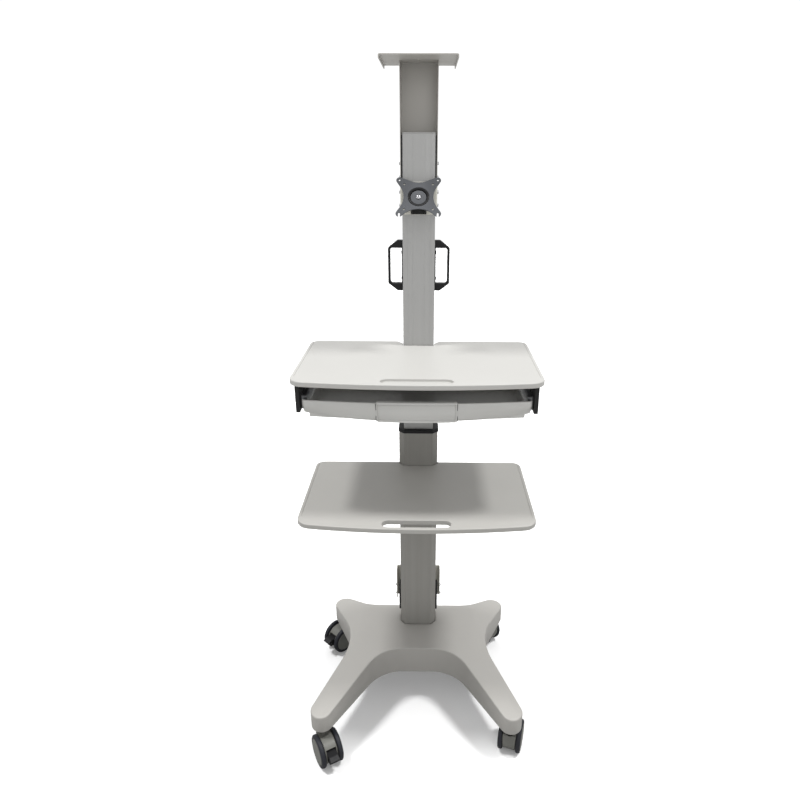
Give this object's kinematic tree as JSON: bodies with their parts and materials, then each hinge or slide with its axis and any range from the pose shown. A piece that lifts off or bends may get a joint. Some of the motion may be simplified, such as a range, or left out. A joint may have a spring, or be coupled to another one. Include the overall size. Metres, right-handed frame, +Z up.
{
  "type": "mobile medical workstation cart",
  "caption": "Height-adjustable ward cart: X base on braked twin-wheel casters, telescoping column, worktop with keyboard drawer, lower shelf, tilting monitor plate and mast.",
  "frame": {"origin": "on the floor, under the middle of the whole cart's bounding box", "axes": "+Z up, -Y towards the user who stands in front of the worktop, +X to that user's right"},
  "size_m": [0.7138, 0.6562, 1.996],
  "materials": {
    "warm_grey_shell": "fine moulded grain",
    "black_steel": "satin powder coat",
    "zinc_screw": "zinc plated",
    "dark_column": "bronze grey anodised",
    "light_column": "satin anodised",
    "black_plastic": "moulded",
    "guide_plastic": "natural nylon",
    "spring_black": "gloss black",
    "polished_rod": "ground and polished",
    "shelf_grey": "fine moulded grain",
    "worktop_white": "fine moulded grain",
    "bracket_cream": "powder coat",
    "rail_zinc": "bright zinc",
    "plate_blue_grey": "fine textured powder coat",
    "mast_grey": "silver grey powder coat",
    "caster_grey": "moulded",
    "caster_tyre": "grey black tread"
  },
  "bodies": {
    "base_frame": {"base_shell": "warm_grey_shell", "base_plate": "black_steel", "base_bolts": "zinc_screw", "column_foot": "black_steel", "outer_column": "dark_column", "column_collar": "black_plastic", "upper_guide": "guide_plastic", "gas_cylinder": "spring_black", "lower_shelf": "shelf_grey", "shelf_bracket": "black_steel", "shelf_screws": "zinc_screw", "rear_bracket": "bracket_cream", "rear_bracket_screws": "black_steel", "rear_pads": "black_plastic", "caster_stems": "caster_grey"},
    "lift_column": {"inner_column": "light_column", "column_cap": "black_plastic", "lower_guide": "guide_plastic", "gas_rod": "polished_rod", "rod_block": "black_steel", "worktop": "worktop_white", "worktop_bracket": "black_steel", "worktop_screws": "zinc_screw", "rail_bracket_left": "black_steel", "rail_bracket_right": "black_steel", "fixed_rails": "rail_zinc", "handle_left": "black_steel", "handle_right": "black_steel", "handle_screws": "black_steel", "monitor_clamp": "bracket_cream", "tilt_bracket": "black_steel", "tilt_pin": "zinc_screw", "mast_channel": "mast_grey", "mast_screws": "black_steel", "top_plate": "mast_grey"},
    "keyboard_drawer": {"moving_rails": "rail_zinc", "drawer_tray": "worktop_white", "drawer_handle": "worktop_white"},
    "tilt_head": {"tilt_knuckle": "black_plastic", "pivot_disc": "zinc_screw"},
    "monitor_plate": {"vesa_plate": "plate_blue_grey"},
    "caster_front_left": {"fork_front_left": "caster_grey"},
    "roller_front_left_a": {"wheel_front_left_a": "caster_tyre"},
    "roller_front_left_b": {"wheel_front_left_b": "caster_tyre"},
    "brake_front_left": {"pedal_front_left": "black_plastic"},
    "caster_front_right": {"fork_front_right": "caster_grey"},
    "roller_front_right_a": {"wheel_front_right_a": "caster_tyre"},
    "roller_front_right_b": {"wheel_front_right_b": "caster_tyre"},
    "brake_front_right": {"pedal_front_right": "black_plastic"},
    "caster_rear_left": {"fork_rear_left": "caster_grey"},
    "roller_rear_left_a": {"wheel_rear_left_a": "caster_tyre"},
    "roller_rear_left_b": {"wheel_rear_left_b": "caster_tyre"},
    "brake_rear_left": {"pedal_rear_left": "black_plastic"},
    "caster_rear_right": {"fork_rear_right": "caster_grey"},
    "roller_rear_right_a": {"wheel_rear_right_a": "caster_tyre"},
    "roller_rear_right_b": {"wheel_rear_right_b": "caster_tyre"},
    "brake_rear_right": {"pedal_rear_right": "black_plastic"}
  },
  "joints": [
    {"name": "column_lift", "type": "slide", "parent": "base_frame", "child": "lift_column", "axis": [0, 0, 1], "range_m": [-0.18, 0.2]},
    {"name": "drawer_slide", "type": "slide", "parent": "lift_column", "child": "keyboard_drawer", "axis": [0, -1, 0], "range_m": [0, 0.22]},
    {"name": "plate_tilt", "type": "hinge", "parent": "lift_column", "child": "tilt_head", "pos_m": [0, 0.059, 1.652], "axis": [1, 0, 0], "range_deg": [-8, 40]},
    {"name": "plate_turn", "type": "hinge", "parent": "tilt_head", "child": "monitor_plate", "pos_m": [0, 0.03536, 1.67047], "axis": [0, -0.788, 0.6157], "range_deg": [-90, 90]},
    {"name": "swivel_front_left", "type": "hinge", "parent": "base_frame", "child": "caster_front_left", "pos_m": [-0.293, -0.24, 0.1], "axis": [0, 0, 1], "continuous": true},
    {"name": "spin_front_left_a", "type": "hinge", "parent": "caster_front_left", "child": "roller_front_left_a", "pos_m": [-0.277, -0.26771, 0.05], "axis": [0.866, 0.5, 0], "continuous": true},
    {"name": "spin_front_left_b", "type": "hinge", "parent": "caster_front_left", "child": "roller_front_left_b", "pos_m": [-0.277, -0.26771, 0.05], "axis": [0.866, 0.5, 0], "continuous": true},
    {"name": "brake_front_left", "type": "hinge", "parent": "caster_front_left", "child": "brake_front_left", "pos_m": [-0.264, -0.29023, 0.062], "axis": [0.866, 0.5, 0], "range_deg": [0, 14]},
    {"name": "swivel_front_right", "type": "hinge", "parent": "base_frame", "child": "caster_front_right", "pos_m": [0.293, -0.24, 0.1], "axis": [0, 0, 1], "continuous": true},
    {"name": "spin_front_right_a", "type": "hinge", "parent": "caster_front_right", "child": "roller_front_right_a", "pos_m": [0.30236, -0.2094, 0.05], "axis": [-0.9563, 0.2924, 0], "continuous": true},
    {"name": "spin_front_right_b", "type": "hinge", "parent": "caster_front_right", "child": "roller_front_right_b", "pos_m": [0.30236, -0.2094, 0.05], "axis": [-0.9563, 0.2924, 0], "continuous": true},
    {"name": "brake_front_right", "type": "hinge", "parent": "caster_front_right", "child": "brake_front_right", "pos_m": [0.30996, -0.18453, 0.062], "axis": [-0.9563, 0.2924, 0], "range_deg": [0, 14]},
    {"name": "swivel_rear_left", "type": "hinge", "parent": "base_frame", "child": "caster_rear_left", "pos_m": [-0.281, 0.24, 0.1], "axis": [0, 0, 1], "continuous": true},
    {"name": "spin_rear_left_a", "type": "hinge", "parent": "caster_rear_left", "child": "roller_rear_left_a", "pos_m": [-0.30241, 0.21622, 0.05], "axis": [0.7431, -0.6691, 0], "continuous": true},
    {"name": "spin_rear_left_b", "type": "hinge", "parent": "caster_rear_left", "child": "roller_rear_left_b", "pos_m": [-0.30241, 0.21622, 0.05], "axis": [0.7431, -0.6691, 0], "continuous": true},
    {"name": "brake_rear_left", "type": "hinge", "parent": "caster_rear_left", "child": "brake_rear_left", "pos_m": [-0.31981, 0.1969, 0.062], "axis": [0.7431, -0.6691, 0], "range_deg": [0, 14]},
    {"name": "swivel_rear_right", "type": "hinge", "parent": "base_frame", "child": "caster_rear_right", "pos_m": [0.281, 0.24, 0.1], "axis": [0, 0, 1], "continuous": true},
    {"name": "spin_rear_right_a", "type": "hinge", "parent": "caster_rear_right", "child": "roller_rear_right_a", "pos_m": [0.25837, 0.26263, 0.05], "axis": [-0.7071, -0.7071, 0], "continuous": true},
    {"name": "spin_rear_right_b", "type": "hinge", "parent": "caster_rear_right", "child": "roller_rear_right_b", "pos_m": [0.25837, 0.26263, 0.05], "axis": [-0.7071, -0.7071, 0], "continuous": true},
    {"name": "brake_rear_right", "type": "hinge", "parent": "caster_rear_right", "child": "brake_rear_right", "pos_m": [0.23999, 0.28101, 0.062], "axis": [-0.7071, -0.7071, 0], "range_deg": [0, 14]}
  ]
}
